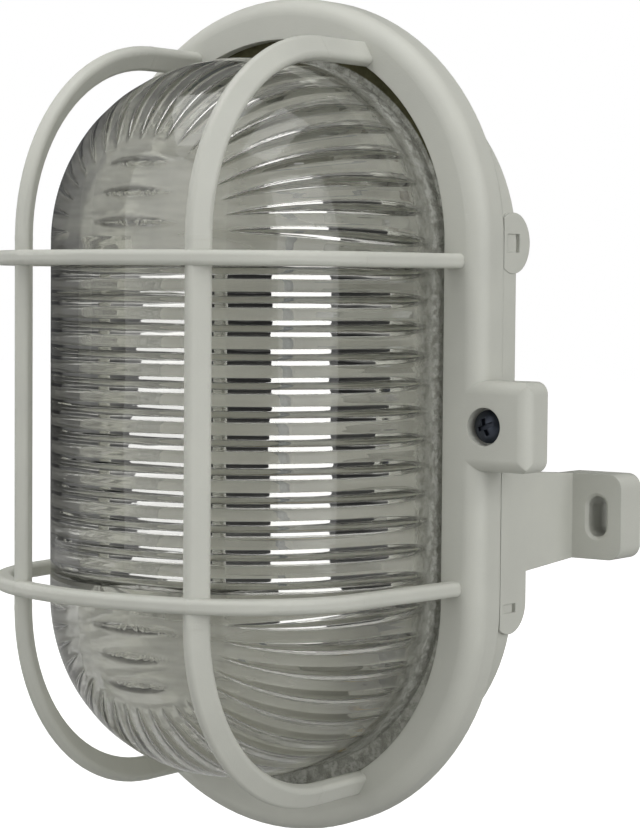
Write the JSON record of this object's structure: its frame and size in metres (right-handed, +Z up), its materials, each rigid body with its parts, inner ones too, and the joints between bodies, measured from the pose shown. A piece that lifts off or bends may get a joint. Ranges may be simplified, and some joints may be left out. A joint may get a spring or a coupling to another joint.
{
  "type": "bulkhead light",
  "caption": "Oval wall-mounted bulkhead light: moulded dish base with fixing lugs, grooved pressed-glass cover and a moulded guard cage.",
  "frame": {"origin": "centre of the flat back, on the wall plane", "axes": "+Z up along the long axis, +Y into the wall, the light faces -Y, +X to the viewer's right"},
  "size_m": [0.151, 0.1259, 0.211],
  "materials": {
    "grey_plastic": "fine satin moulding",
    "guard_plastic": "fine satin moulding",
    "clear_glass": "clear pressed glass, grooved inside",
    "black_rubber": "matt",
    "blued_steel": "blue-black passivated",
    "brass": "plain",
    "holder_grey": "moulded",
    "zinc_steel": "zinc plated",
    "pale_plastic": "moulded",
    "brown_sleeve": "braided sleeve",
    "blue_sleeve": "braided sleeve"
  },
  "bodies": {
    "root": {"base_housing": "grey_plastic", "guard_frame": "guard_plastic", "glass_cover": "clear_glass", "glass_gasket": "black_rubber", "guard_screws": "blued_steel", "screw_inserts": "brass", "lampholder_body": "holder_grey", "threaded_shell": "brass", "centre_contact": "brass", "holder_terminals": "brass", "holder_terminal_screws": "zinc_steel", "holder_bracket": "zinc_steel", "holder_screws": "zinc_steel", "bracket_screws": "zinc_steel", "terminal_block": "pale_plastic", "terminal_tubes": "brass", "terminal_screws": "zinc_steel", "terminal_block_screw": "zinc_steel", "live_lead": "brown_sleeve", "neutral_lead": "blue_sleeve", "cable_grommet": "black_rubber", "cord_clamp": "pale_plastic", "cord_clamp_screws": "zinc_steel"}
  },
  "joints": []
}
